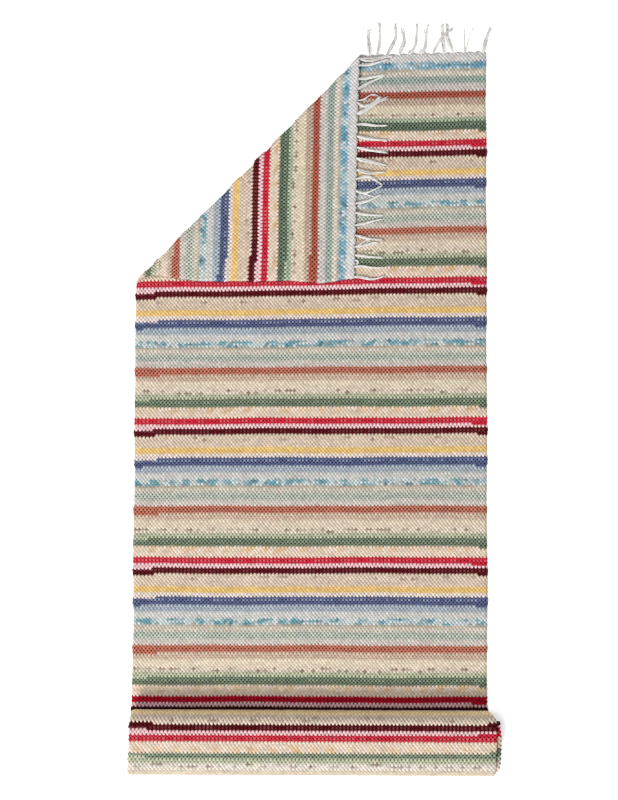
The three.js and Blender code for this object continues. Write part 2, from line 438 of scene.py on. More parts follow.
REPEAT: tuple[Rag, ...] = (
    Rag("red", 3, 12.1, "e02f45", "720c1a", Pattern.DOTS, "ee7983", lean=0.06),
    Rag("pink", 2, 8.5, "fbd7d8", "b1787e", lean=0.03),
    Rag("maroon", 3, 11.7, "6a1c23", "0b0102", Pattern.DOTS, "8a4b4d", sticks_out=1.6, lean=0.00),
    Rag("beige", 6, 25.8, "e0cdba", "b5a18d", Pattern.DASH, "6e3f3c"),
    Rag("yellow", 3, 12.0, "ecca87", "cda359", lean=0.07),
    Rag("pale", 2, 8.2, "ede0d7", "b2a097", lean=0.06),
    Rag("blue", 4, 15.9, "677196", "0c1230", Pattern.DOTS, "b9c3dc", sticks_out=1.4, lean=0.00),
    Rag("light_blue", 3, 13.7, "b5bfc9", "727c85", lean=0.07),
    Rag("grey", 3, 13.5, "d1cfca", "b1afaa"),
    Rag("turquoise", 3, 11.9, "7cafba", "3a6470", Pattern.PRINT, "d6dfde", 0.22, lean=0.06),
    Rag("tan", 3, 14.5, "d8d0c3", "a99f8f", Pattern.LINE, "a08f76"),
    Rag("sage", 3, 13.7, "cacec2", "5c6e61", lean=0.03),
    Rag("lilac", 3, 12.3, "d5cdc4", "aca49c"),
    Rag("rust", 3, 13.9, "d1826c", "4f180e", sticks_out=1.2, lean=0.04),
    Rag("brown", 3, 14.3, "dac2ae", "98816f"),
    Rag("cream", 3, 12.9, "e2d4bf", "c7b79e"),
    Rag("fleck", 3, 11.9, "e6d9c6", "bbab99", Pattern.FLECK, "6d452f"),
    Rag("light_green", 2, 10.3, "cacab2", "667653", lean=0.04),
    Rag("dark_green", 4, 15.9, "84917a", "121a12", Pattern.DOTS, "a9b7a0", lean=0.00),
    Rag("slash", 5, 21.9, "e8d6c4", "c5ae99", Pattern.SLASH, "dfae62"),
)
# rag, then how many warps its end is turned in over the next pick at the left and at the right
TAILS = {"maroon": (12, 5), "rust": (13, 0), "blue": (4, 6), "red": (0, 9), "dark_green": (0, 4)}
# rag, then how many warps in from the left its first pick starts
LATE_STARTS = {"maroon": 10, "blue": 12, "dark_green": 9}


@dataclass(frozen=True)
class Blots:
    """A printed rag: blots along its picks, some of them hollow. Lengths in warps, the rest in shares."""

    every: float = 12.4
    wander: float = 3.5
    drift: float = 0.4
    drift_reach: int = 4
    speckle: float = 0.35
    faint: float = 0.2
    strong: float = 0.45
    ragged: float = 0.5
    ragged_reach: int = 5
    edge: tuple[float, float] = (0.25, 0.95)
    hollow: float = 1.2
    hollow_reach: int = 11
    hollow_wide: float = 0.6
    softness: float = 0.45
    dark_chance: float = 0.1
    dark_tone: float = 0.55


@dataclass(frozen=True)
class Dashes:
    """Short dashes scattered along the inner picks of a stripe. Lengths in warps, the rest in shares."""

    longest: int
    gap: int
    strength: float = 1.0
    shortest: int = 2
    faintest: float = 0.1
    picks: tuple[int, ...] = (1, 1, 2)


@dataclass(frozen=True)
class Slashes:
    """Slanting marks over the first picks of a stripe. Lengths in warps, the rest in shares."""

    every: float = 10.2
    step: float = 1.1
    wander: float = 2.0
    depths: tuple[float, ...] = (0.45, 0.6, 0.35)
    rise: tuple[float, float] = (0.0, 1.5)
    fall: tuple[float, float] = (6.0, 3.6)
    fading: tuple[float, float] = (0.75, 0.45)
    fading_reach: int = 9


@dataclass
class WeaveChart:
    """The order of stripes from the fringed end to the far end, pick by pick."""

    length: float
    warps: int
    seed: int = 7
    red_starts: tuple[float, ...] = (172.5, 451.0, 729.0, 1007.5, 1281.0)
    last_pick: float = 1.5
    blots: Blots = Blots()
    flecks: Dashes = Dashes(8, 6)
    dashes: Dashes = Dashes(7, 20, 0.8)
    slashes: Slashes = Slashes()
    # painted highlight dots: their strength, how many warps their drift takes, and the drift range over
    # which they show
    dots: float = 0.5
    dots_reach: int = 3
    dots_from: tuple[float, float] = (-0.8, 0.4)
    line: tuple[float, float] = (0.45, 0.25)
    wander_reach: int = 7
    wander_phase: float = 10.0
    # accent colour in the low spots darkened, as painted shade in the pits
    accent_pit_shade: float = 0.6
    # the back of the cloth, on the flap and the roll, drawn brighter as painted light
    back_painted_light: float = 1.05
    slow_tone: float = 0.06
    slow_reach: int = 9
    crossing_tone: float = 0.11
    pick_tone: float = 0.04
    tint: float = 0.03
    along: Array = field(init=False)
    rags: list[Rag] = field(init=False)
    nth: list[int] = field(init=False)
    order: list[int] = field(init=False)

    def __post_init__(self) -> None:
        """Lay out the picks."""
        rows: list[ChartRow] = []
        start = self._stripe(rows, HEM, 0.0, 1.0)
        scale = (self.red_starts[0] - HEM.height) / sum(rag.height for rag in OPENING)
        for rag in OPENING:
            start = self._stripe(rows, rag, start, scale)
        repeat_height = sum(rag.height for rag in REPEAT)
        for here, there in zip(self.red_starts, self.red_starts[1:]):
            start = here
            for rag in REPEAT:
                start = self._stripe(rows, rag, start, (there - here) / repeat_height)
        for rag in self._rolled():
            if start < self.length:
                start = self._stripe(rows, rag, start, 1.0)
        rows = [row for row in rows if row[0] < self.length - self.last_pick]
        self.along = np.array([0.0] + [row[0] for row in rows] + [self.length])
        self.rags = [HEM] + [row[1] for row in rows] + [rows[-1][1]]
        self.nth = [0] + [row[2] for row in rows] + [0]
        self.order = [0] + [row[3] for row in rows] + [rows[-1][3]]

    def _stripe(self, rows: list[ChartRow], rag: Rag, start: float, scale: float) -> float:
        """Add one stripe's picks to the rows.

        Args:
            rows: Rows so far.
            rag: The stripe's rag.
            start: Where the stripe starts.
            scale: How much taller than charted its picks are.

        Returns:
            Where the stripe ends.
        """
        pick = rag.height * scale / rag.picks
        serial = rows[-1][3] + 1 if rows else 0
        for nth in range(rag.picks):
            rows.append((start + pick * (nth + 0.5), rag, nth, serial))
        return start + rag.height * scale

    def _rolled(self) -> list[Rag]:
        """List the stripes from the last red on the flat to the far end.

        Returns:
            The stripes in order, some of them narrower than in the other repeats, some darkened as painted
            shadow and shade behind and on the roll, some lightened as painted light on the roll.
        """
        by_name = {rag.name: rag for rag in REPEAT}
        narrow = replace(by_name["beige"], picks=4, height=17.2)
        # the repeat after the last red on the flat: red, pink and the shaded maroon darkened as painted
        # shadow behind the roll at the crease; cream and slash darker, dark green and fleck lighter, as
        # painted shade and light on the roll's front; beige and dark green also narrower
        first_painted_light_and_shade = {
            "red": replace(by_name["red"], peak="c6162f", deep="4c0006", pattern=Pattern.PLAIN),
            "pink": replace(by_name["pink"], peak="e4c2c3", deep="9d6a70"),
            "maroon": replace(
                by_name["maroon"], name="shaded", peak="420f14", deep="060001", accent="5c2c2e"
            ),
            "beige": narrow,
            "cream": replace(by_name["cream"], peak="c9beac", deep="b2a48f"),
            "dark_green": replace(
                by_name["dark_green"], picks=2, height=9.6, peak="8e9a84", deep="18221a"
            ),
            "fleck": replace(by_name["fleck"], peak="e8dfd4", deep="c3b7aa"),
            "slash": replace(by_name["slash"], peak="e4d3c2", deep="c4ae9a"),
        }
        # the next repeat, on top of the roll: red, pink and maroon darkened as painted shade on its lit
        # front; beige and yellow lightened as painted light on its rear; beige also narrower
        second_painted_light_and_shade = {
            "red": replace(by_name["red"], peak="d83145", deep="5a0410"),
            "pink": replace(by_name["pink"], peak="ecc9ca", deep="a57075"),
            "maroon": replace(by_name["maroon"], peak="5d1419", deep="090102"),
            "beige": replace(narrow, peak="e8d6c5", deep="b9a693"),
            "yellow": replace(by_name["yellow"], peak="ffe7b8", deep="e8c68f"),
        }
        hidden = [rag for rag in REPEAT if rag.name not in ("tan", "lilac")]
        first = [first_painted_light_and_shade.get(rag.name, rag) for rag in hidden]
        second = [second_painted_light_and_shade.get(rag.name, rag) for rag in REPEAT]
        return first + second + [by_name["red"], by_name["pink"], by_name["maroon"]]

    def _drift(self, rng: np.random.Generator, rows: int, reach: int) -> Array:
        """Make a value that wanders slowly along each pick.

        Args:
            rng: Source of chance.
            rows: How many picks.
            reach: How many warps a wander takes.

        Returns:
            Values of about -1 to 1, one row for each pick.
        """
        count = self.warps // reach + 3
        knots = rng.uniform(-1.0, 1.0, (rows, count))
        places = np.arange(self.warps + 1) / reach
        low = places.astype(int)
        part = smooth_step(0.0, 1.0, places - low)
        return knots[:, low] * (1.0 - part) + knots[:, low + 1] * part

    def _printed(self, rag: Rag, rng: np.random.Generator, wander: Array, phase: float) -> Array:
        """Blot a printed rag.

        Args:
            rag: The stripe's rag.
            rng: Source of chance.
            wander: How far the blots are pulled along, by warp.
            phase: Where the first blot lies, in warps.

        Returns:
            Shares from 0 to 1, by pick and warp.
        """
        blots = self.blots
        warp = np.arange(self.warps + 1)
        shape = (rag.picks, self.warps + 1)
        loose = blots.drift * self._drift(rng, rag.picks, blots.drift_reach)
        loose = loose + blots.speckle * rng.uniform(-1.0, 1.0, shape)
        apart = np.abs((warp + blots.wander * wander + phase) / blots.every % 1.0 - 0.5) * 2.0
        ink = blots.faint * np.cos(apart * math.pi) * np.ones((rag.picks, 1))
        if rag.accent_share > 0.0:
            ragged = apart + blots.ragged * self._drift(rng, rag.picks, blots.ragged_reach)
            ink = blots.strong * (1.0 - 2.0 * smooth_step(*blots.edge, ragged))
            hollow = np.maximum(self._drift(rng, 1, blots.hollow_reach)[0], 0.0)
            ink[1] -= blots.hollow * hollow * (1.0 - smooth_step(0.0, blots.hollow_wide, apart))
        return smooth_step(-blots.softness, blots.softness, rag.accent_share + loose - ink)

    def _dashed(self, rag: Rag, rng: np.random.Generator, dashes: Dashes) -> Array:
        """Scatter short dashes along the inner picks of a stripe.

        Args:
            rag: The stripe's rag.
            rng: Source of chance.
            dashes: The kind of dashes.

        Returns:
            Shares from 0 to 1, by pick and warp.
        """
        share = np.zeros((rag.picks, self.warps + 1))
        warp = int(rng.integers(0, dashes.gap))
        while warp < self.warps - dashes.longest:
            long = int(rng.integers(dashes.shortest, dashes.longest))
            strength = rng.uniform(dashes.faintest, 1.0, long)
            share[rng.choice(dashes.picks), warp : warp + long] = strength
            warp += long + int(rng.integers(1, dashes.gap))
        return share * dashes.strength

    def _slashed(self, rag: Rag, rng: np.random.Generator, wander: Array, phase: float) -> Array:
        """Draw slanting marks over the first picks of a stripe.

        Args:
            rag: The stripe's rag.
            rng: Source of chance.
            wander: How far the marks are pulled along, by warp.
            phase: Where the first mark lies, in warps.

        Returns:
            Shares from 0 to 1, by pick and warp.
        """
        marks = self.slashes
        warp = np.arange(self.warps + 1)
        share = np.zeros((rag.picks, self.warps + 1))
        mean, swing = marks.fading
        fading = mean + swing * self._drift(rng, 1, marks.fading_reach)[0]
        for nth, depth in enumerate(marks.depths):
            place = (warp + marks.step * nth + phase + marks.wander * wander) % marks.every
            share[nth] = depth * fading * smooth_step(*marks.rise, place) * smooth_step(*marks.fall, place)
        return share

    def _accents(self, rag: Rag, rng: np.random.Generator) -> Array:
        """Work out how much accent colour each crossing of one stripe takes.

        Args:
            rag: The stripe's rag.
            rng: Source of chance.

        Returns:
            Shares from 0 to 1, by pick and warp.
        """
        share = np.zeros((rag.picks, self.warps + 1))
        wander = self._drift(rng, 1, self.wander_reach)[0]
        phase = rng.uniform(0.0, self.wander_phase)
        if rag.pattern is Pattern.PRINT:
            share = self._printed(rag, rng, wander, phase)
        elif rag.pattern is Pattern.FLECK:
            share = self._dashed(rag, rng, self.flecks)
        elif rag.pattern is Pattern.DASH:
            share = self._dashed(rag, rng, self.dashes)
        elif rag.pattern is Pattern.SLASH:
            share = self._slashed(rag, rng, wander, phase)
        # painted highlight dots on the high spots of the middle pick
        elif rag.pattern is Pattern.DOTS:
            share[1] = self.dots * smooth_step(*self.dots_from, self._drift(rng, 1, self.dots_reach)[0])
        elif rag.pattern is Pattern.LINE:
            mean, swing = self.line
            share[0] = mean + swing * wander
        return share

    def colours(self, behind: bool) -> tuple[Array, Array]:
        """Colour every crossing of the lattice.

        Args:
            behind: Whether the back of the cloth is coloured.

        Returns:
            The colours of the rag's high spots, lightened on the dark rags as a painted highlight, and of
            its low ones, darkened with painted shade in the pits, by pick and warp.
        """
        rng = np.random.default_rng(self.seed + int(behind))
        shape = (len(self.along), self.warps + 1)
        peak = np.zeros((*shape, 3))
        deep = np.zeros((*shape, 3))
        share = np.zeros((1, shape[1]))
        for row, rag in enumerate(self.rags):
            nth = self.nth[row]
            if nth == 0:
                share = self._accents(rag, rng)
            mix = share[nth][:, None]
            accent = linear(rag.accent)
            on_peak, on_deep = (mix * part for part in rag.pattern.takes())
            peak[row] = linear(rag.peak) * (1.0 - on_peak) + accent * on_peak
            # the low spots take the pit colour and a darkened accent: painted shade in the pits
            deep[row] = linear(rag.deep) * (1.0 - on_deep) + accent * self.accent_pit_shade * on_deep
            if rag.pattern is Pattern.PRINT:
                dark = rng.random(shape[1]) < self.blots.dark_chance
                peak[row] *= np.where(dark, self.blots.dark_tone, 1.0)[:, None]
        self._tuck_tails(peak, deep)
        tone = 1.0 + self.slow_tone * self._drift(rng, shape[0], self.slow_reach)
        tone += self.crossing_tone * rng.uniform(-1, 1, shape)
        tone *= 1.0 + self.pick_tone * rng.uniform(-1, 1, shape[0])[:, None]
        # painted light: the back of the cloth drawn brighter
        tone *= self.back_painted_light if behind else 1.0
        tint = tone[..., None] * (1.0 + self.tint * rng.uniform(-1, 1, (*shape, 3)))
        return np.clip(peak * tint, 0, 1), np.clip(deep * tint, 0, 1)

    def _tuck_tails(self, peak: Array, deep: Array) -> None:
        """Lay the turned-in ends of the dark rags over the next pick by the selvages, in place.

        Args:
            peak: Colours of the high spots, lightened on the dark rags as a painted highlight.
            deep: Colours of the low spots, darkened with painted shade in the pits.
        """
        for row in range(2, len(self.rags) - 1):
            before, here = self.rags[row - 1], self.rags[row]
            if before.name == here.name:
                continue
            left, right = TAILS.get(before.name, (0, 0))
            left = max(left, LATE_STARTS.get(here.name, 0))
            for side in (slice(0, left), slice(self.warps + 1 - right, self.warps + 1)):
                peak[row, side] = linear(before.peak)
                deep[row, side] = linear(before.deep)


@dataclass
class MeshParts:
    """Triangles of one piece as arrays, with what each corner carries."""

    points: Array
    triangles: Array
    weave: Array
    bake: Array
    # high-spot colour of each corner, lightened on the dark rags as a painted highlight
    dye: Array
    # low-spot colour of each corner, darkened with painted shade in the pits
    deep: Array
    lean: Array


def make_object(name: str, points: Array, faces: Array, material: bpy.types.Material) -> bpy.types.Object:
    """Make a smooth mesh object from arrays.

    Args:
        name: The piece's name.
        points: Points in metres.
        faces: Three point numbers for each triangle.
        material: The piece's finish.

    Returns:
        The new object, at the origin.
    """
    mesh = bpy.data.meshes.new(name)
    sides = faces.shape[1]
    mesh.vertices.add(len(points))
    mesh.vertices.foreach_set("co", points.astype(np.float32).ravel())
    mesh.loops.add(faces.size)
    mesh.loops.foreach_set("vertex_index", faces.astype(np.int32).ravel())
    mesh.polygons.add(len(faces))
    mesh.polygons.foreach_set("loop_start", np.arange(0, faces.size, sides, dtype=np.int32))
    mesh.polygons.foreach_set("use_smooth", np.ones(len(faces), dtype=bool))
    mesh.materials.append(material)
    mesh.update(calc_edges=True)
    mesh.validate()
    piece = bpy.data.objects.new(name, mesh)
    bpy.context.scene.collection.objects.link(piece)
    return piece


@dataclass(frozen=True)
class Wave:
    """One slow wave of the picks: its share, its lengths across and along in millimetres, and its phase."""

    share: float
    across: float
    along: float
    phase: float


@dataclass(frozen=True)
class BakeLayout:
    """Where the cloth's face, back and rim lie on a square map of side 1."""

    span: float = 2100.0
    margin: float = 0.01
    back: float = 0.35
    selvages: float = 0.72
    ends: float = 0.75
    next_wall: float = 0.01
    wall_middle: float = 0.002
    wall_back: float = 0.004


@dataclass
class RugCloth:
    """The woven cloth as one closed mesh, as fine as its weave wherever it shows. Millimetres."""

    laying: Laying
    chart: WeaveChart
    origin: Array
    roots: Array
    block: int = 8
    bump: float = 0.55
    pit: float = 0.75
    relief_chance: tuple[float, float] = (-0.25, 0.2)
    edge_thin: float = 0.9
    rim_swell: float = 0.9
    wave: float = 0.54
    waves: tuple[Wave, ...] = (Wave(1.0, 71.0, 83.0, 0.0), Wave(0.7, 33.0, -47.0, 1.3))
    end_calm: float = 40.0
    roll_calm: tuple[float, float] = (1290.0, 1330.0)
    jitter: float = 0.4
    loop_out: float = 0.9
    loop_in: float = 0.63
    scallop: float = 2.6
    end_draw: float = 0.5
    fold_loose: float = 3.8
    fold_tight: float = 0.3
    fold_jitter: float = 0.5
    fold_middle: float = 8.0
    fold_near: float = 9.0
    lifted_past_roll: float = 10.0
    back_before_fold: float = 2.0
    back_before_roll: float = 4.0
    back_past_roll: float = 6.0
    face_past_fold: float = 12.0
    face_hidden_from: float = 1336.0
    place_seed: int = 5
    relief_seed: int = 6
    fold_seed: int = 17
    layout: BakeLayout = BakeLayout()

    def __post_init__(self) -> None:
        """Spread the lattice out and lay it."""
        self.columns = self.chart.warps + 1
        self.rows = len(self.chart.along)
        across = np.linspace(-1.0, 1.0, self.columns)
        row, column = np.meshgrid(np.arange(self.rows), np.arange(self.columns), indexing="ij")
        self.row = row.ravel()
        self.column = column.ravel()
        along = self.chart.along[self.row]
        x, y = self.laying.spread(across[self.column], along)
        x, y = self._uneven(x, y, along)
        self.past = self.laying.past_fold(x, y)
        self.spread_x = x
        self.spread_y = y
        self.middle, self.face = self.laying.lay(x, y)
        self.middle = self.middle + self.laying.fold_out() * self._loose_fold()[:, None]

    def _loose_fold(self) -> Array:
        """Draw each stripe in by its own amount where it goes round the fold.

        Returns:
            How far each lattice point moves away from the flat part, below 0 where it is drawn in.
        """
        rng = np.random.default_rng(self.fold_seed)
        order = np.array(self.chart.order)
        loose = rng.uniform(-self.fold_loose, self.fold_tight, max(order) + 1)[order]
        loose = loose + rng.uniform(-self.fold_jitter, self.fold_jitter, self.rows)
        near = np.exp(-(((self.past - self.fold_middle) / self.fold_near) ** 2))
        return near * loose[self.row]

    def _uneven(self, x: Array, y: Array, along: Array) -> tuple[Array, Array]:
        """Let picks wander and the selvages loop out where a rag turns.

        Args:
            x: Places across the rug.
            y: Places along the rug.
            along: Distances from the fringed end.

        Returns:
            The uneven places.
        """
        inner = smooth_step(0.0, self.end_calm, along)
        inner = inner * smooth_step(0.0, self.end_calm, self.laying.length - along)
        calm = 1.0 - smooth_step(*self.roll_calm, along)
        wander = sum(
            wave.share * np.sin(x / wave.across + along / wave.along + wave.phase) for wave in self.waves
        )
        y = y + self.wave * inner * calm * wander
        rng = np.random.default_rng(self.place_seed)
        y = y + inner * rng.uniform(-self.jitter, self.jitter, y.shape)
        x = x + rng.uniform(-self.jitter, self.jitter, x.shape)
        proud = np.array([rag.sticks_out for rag in self.chart.rags])[self.row]
        loop = np.where((self.row + self.column) % 2 == 0, self.loop_out, -self.loop_in) + proud
        left = self.column == 0
        right = self.column == self.columns - 1
        x = x - left * loop + right * loop
        first = self.row == 0
        bulge = np.sin(math.pi * np.interp(x, self.roots, np.arange(len(self.roots)))) ** 2
        y = y + first * (self.scallop * bulge - self.end_draw)
        return x, y

    def _side(self, behind: bool) -> Array:
        """Place one side's lattice points.

        Args:
            behind: Whether it is the back.

        Returns:
            Points in millimetres.
        """
        high = (self.row + self.column + int(behind)) % 2 == 0
        relief = np.where(high, self.bump, -self.pit)
        rng = np.random.default_rng(self.relief_seed + int(behind))
        relief = relief + rng.uniform(*self.relief_chance, relief.shape)
        edge = (self.row == 0) | (self.row == self.rows - 1)
        edge |= (self.column == 0) | (self.column == self.columns - 1)
        relief = np.where(edge, -self.edge_thin, relief)
        if behind:
            along = self.chart.along[self.row]
            lifted = self.past > self.fold_middle
            lifted |= along > self.laying.roll_start + self.lifted_past_roll
            relief = np.where(lifted, relief, np.minimum(relief, 0.0) * edge)
        sign = -1.0 if behind else 1.0
        return self.middle + self.face * (sign * (self.laying.thick / 2.0 + relief))[:, None]

    def _fine_blocks(self, behind: bool) -> Array:
        """Choose the blocks of the lattice that are meshed at full fineness.

        Args:
            behind: Whether it is the back.

        Returns:
            True for each fine block, by row and block.
        """
        blocks = self.chart.warps // self.block
        grid = self.past.reshape(self.rows, self.columns)
        lowest = np.stack([grid[:-1], grid[1:]]).min(axis=0)
        highest = np.stack([grid[:-1], grid[1:]]).max(axis=0)
        ends = np.arange(blocks) * self.block
        low = lowest[:, ends + self.block]
        high = highest[:, ends]
        along = self.chart.along[:-1, None] + np.zeros(blocks)
        if behind:
            turn = self.laying.roll_start
            rear = turn + math.pi * self.laying.roll_radius + self.laying.roll_run
            rear += math.pi * (self.laying.roll_radius - self.laying.roll_pitch / 2.0)
            fine = high > -self.back_before_fold
            fine |= (along > turn - self.back_before_roll) & (along < rear + self.back_past_roll)
        else:
            fine = (low < self.face_past_fold) & (along < self.face_hidden_from)
        fine[:2] = True
        fine[-1:] = True
        for _ in range(3):
            between = fine[:-2] & fine[2:]
            fine[1:-1] |= between
        return fine

    def _triangles(self, fine: Array, behind: bool) -> tuple[Array, Array]:
        """Triangulate one side.

        Args:
            fine: Which blocks are fine.
            behind: Whether it is the back.

        Returns:
            Lattice numbers of each triangle's corners, and of the crossing that colours it.
        """
        width = self.columns
        cells = np.repeat(fine, self.block, axis=1)
        row, column = np.nonzero(cells)
        here = row * width + column
        right, below, across = here + 1, here + width, here + width + 1
        even = (row + column + int(behind)) % 2 == 0
        first = np.where(
            even[:, None], np.stack([here, below, right], 1), np.stack([right, here, across], 1)
        )
        second = np.where(
            even[:, None], np.stack([across, right, below], 1), np.stack([below, across, here], 1)
        )
        corners = [first, second]
        owners = [first[:, 0], second[:, 0]]
        wide, owner = self._coarse(fine)
        corners.append(wide)
        owners.append(owner)
        triangles = np.concatenate(corners)
        if behind:
            triangles = triangles[:, ::-1]
        return triangles, np.concatenate(owners)

    def _coarse(self, fine: Array) -> tuple[Array, Array]:
        """Triangulate the blocks that are meshed coarsely, meeting fine neighbours point for point.

        Args:
            fine: Which blocks are fine.

        Returns:
            Lattice numbers of each triangle's corners, and of the crossing that colours it.
        """
        width, step = self.columns, self.block
        found: list[tuple[int, int, int]] = []
        owner: list[int] = []
        rows, blocks = fine.shape
        for row in range(rows):
            for block in range(blocks):
                if fine[row, block]:
                    continue
                left = row * width + block * step
                below = left + width
                top = [left, left + step]
                bottom = [below, below + step]
                if row > 0 and fine[row - 1, block]:
                    top = list(range(left, left + step + 1))
                if row + 1 < rows and fine[row + 1, block]:
                    bottom = list(range(below, below + step + 1))
                for one, other in zip(bottom, bottom[1:]):
                    found.append((top[0], one, other))
                for one, other in zip(top, top[1:]):
                    found.append((one, bottom[-1], other))
                owner += [left + step // 2] * (len(top) + len(bottom) - 2)
        return np.array(found), np.array(owner)

    def _edge_loop(self) -> tuple[Array, Array]:
        """List the lattice numbers round the rim, in the face's direction.

        Returns:
            The rim's numbers in order, and the outward direction of each on the spread-out cloth.
        """
        width, rows = self.columns, self.rows
        left = np.arange(rows) * width
        bottom = (rows - 1) * width + np.arange(1, width)
        right = np.arange(rows - 2, -1, -1) * width + width - 1
        top = np.arange(width - 2, 0, -1)
        rim = np.concatenate([left, bottom, right, top])
        out = np.zeros((len(rim), 2))
        out[:, 0] -= self.column[rim] == 0
        out[:, 0] += self.column[rim] == width - 1
        out[:, 1] += self.row[rim] == 0
        out[:, 1] -= self.row[rim] == rows - 1
        return rim, out

    def parts(self) -> MeshParts:
        """Build the cloth's mesh.

        Returns:
            Points in metres and the triangles with their colours and maps.
        """
        count = self.rows * self.columns
        rim, out = self._edge_loop()
        rim_x = self.spread_x[rim] + self.rim_swell * out[:, 0]
        rim_y = self.spread_y[rim] + self.rim_swell * out[:, 1]
        swollen, _ = self.laying.lay(rim_x, rim_y)
        points = np.concatenate([self._side(False), self._side(True), swollen])
        corner_sets: list[Array] = []
        owner_sets: list[Array] = []
        behind_sets: list[Array] = []
        for behind in (False, True):
            triangles, owners = self._triangles(self._fine_blocks(behind), behind)
            corner_sets.append(triangles + count * int(behind))
            owner_sets.append(owners)
            behind_sets.append(np.full(len(owners), behind))
        after = np.roll(rim, -1)
        mid = 2 * count + np.arange(len(rim))
        mid_after = np.roll(mid, -1)
        walls = [
            np.stack([after, rim, mid], 1),
            np.stack([after, mid, mid_after], 1),
            np.stack([mid_after, mid, rim + count], 1),
            np.stack([mid_after, rim + count, after + count], 1),
        ]
        corner_sets += walls
        owner_sets += [rim] * len(walls)
        behind_sets += [np.full(len(rim), False)] * len(walls)
        triangles = np.concatenate(corner_sets)
        owners = np.concatenate(owner_sets)
        behind = np.concatenate(behind_sets)
        is_wall = np.arange(len(triangles)) >= len(triangles) - len(walls) * len(rim)
        weave, bake = self._maps(triangles, is_wall, rim, count)
        dye, deep = self._colours(owners, behind)
        lean = np.array([rag.lean for rag in self.chart.rags])[self.row[owners]]
        lean = np.where(behind, -lean, lean)
        used, packed = np.unique(triangles, return_inverse=True)
        place = (points[used] - self.origin) * MM
        return MeshParts(place, packed.reshape(-1, 3), weave, bake, dye, deep, np.repeat(lean, 3))

    def _maps(self, triangles: Array, is_wall: Array, rim: Array, count: int) -> tuple[Array, Array]:
        """Give each corner its place in the weave and on a flat layout of the cloth.

        Args:
            triangles: Point numbers before unused points are dropped.
            is_wall: Whether a triangle belongs to the rim.
            rim: The rim's lattice numbers.
            count: Lattice points on a side.

        Returns:
            The weave's warp and pick numbers, and the layout's places from 0 to 1.
        """
        flat = triangles.ravel()
        kind = flat // count
        lattice = np.where(kind < 2, flat % count, rim[np.clip(flat - 2 * count, 0, len(rim) - 1)])
        wall = np.repeat(is_wall, 3)
        warp = self.column[lattice].astype(float)
        pick = self.row[lattice].astype(float)
        weave = np.stack([warp + np.choose(kind, [0.0, 1.0, 0.5]), pick], 1)
        layout = self.layout
        along = layout.margin + self.chart.along[self.row[lattice]] / layout.span
        across = layout.margin + warp / self.chart.warps * 2.0 * self.laying.half / layout.span
        bake = np.stack([across + (kind == 1) * layout.back, along], 1)
        on_end = wall & np.repeat((self.row[lattice].reshape(-1, 3).ptp(axis=1) == 0), 3)
        right = wall & ~on_end & (warp > self.chart.warps / 2)
        depth = np.choose(kind, [0.0, layout.wall_back, layout.wall_middle])
        bake[wall] = np.stack([layout.selvages + depth, along], 1)[wall]
        bake[right, 0] += layout.next_wall
        far = on_end & (pick > self.rows / 2)
        bake[on_end] = np.stack([layout.ends + depth, across], 1)[on_end]
        bake[far, 0] += layout.next_wall
        return weave, bake

    def _colours(self, owners: Array, behind: Array) -> tuple[Array, Array]:
        """Colour each triangle by its crossing.

        Args:
            owners: Lattice numbers of the crossings.
            behind: Whether each triangle is on the back.

        Returns:
            The high colours, lightened on the dark rags as a painted highlight, and the low colours,
            darkened with painted shade in the pits, of each corner.
        """
        front_peak, front_deep = self.chart.colours(False)
        back_peak, back_deep = self.chart.colours(True)
        pick = self.row[owners]
        warp = self.column[owners]
        peak = np.where(behind[:, None], back_peak[pick, warp], front_peak[pick, warp])
        deep = np.where(behind[:, None], back_deep[pick, warp], front_deep[pick, warp])
        return np.repeat(peak, 3, axis=0), np.repeat(deep, 3, axis=0)

    def build(self, material: bpy.types.Material) -> bpy.types.Object:
        """Make the cloth's object.

        Args:
            material: The woven finish.

        Returns:
            The cloth, riding on the part and standing for its solid.
        """
        parts = self.parts()
        piece = make_object("rug_weave", parts.points, parts.triangles, material)
        mesh = piece.data
        for name, values in (("weave", parts.weave), ("OFBake", parts.bake)):
            layer = mesh.uv_layers.new(name=name)
            layer.uv.foreach_set("vector", values.astype(np.float32).ravel())
        # high-spot colours with painted highlight on the dark rags, low-spot colours with painted shade in
        # the pits
        for name, values in (("dye", parts.dye), ("deep", parts.deep)):
            attribute = mesh.color_attributes.new(name, "FLOAT_COLOR", "CORNER")
            full = np.concatenate([values, np.ones((len(values), 1))], 1)
            attribute.data.foreach_set("color", full.astype(np.float32).ravel())
        leaning = mesh.attributes.new("lean", "FLOAT", "CORNER")
        leaning.data.foreach_set("value", parts.lean.astype(np.float32))
        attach(piece, "root")
        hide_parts("rug_cloth")
        LOG.info("rug_weave: %d triangles", len(parts.triangles))
        return piece


@dataclass(frozen=True)
class Lock:
    """One lock of warp ends: its root across the rug, then how far out and aside it bends. Millimetres."""

    root: float
    bends: tuple[tuple[float, float], ...]
    threads: int = 4
    wide: float = 1.8
    over: float = 0.0


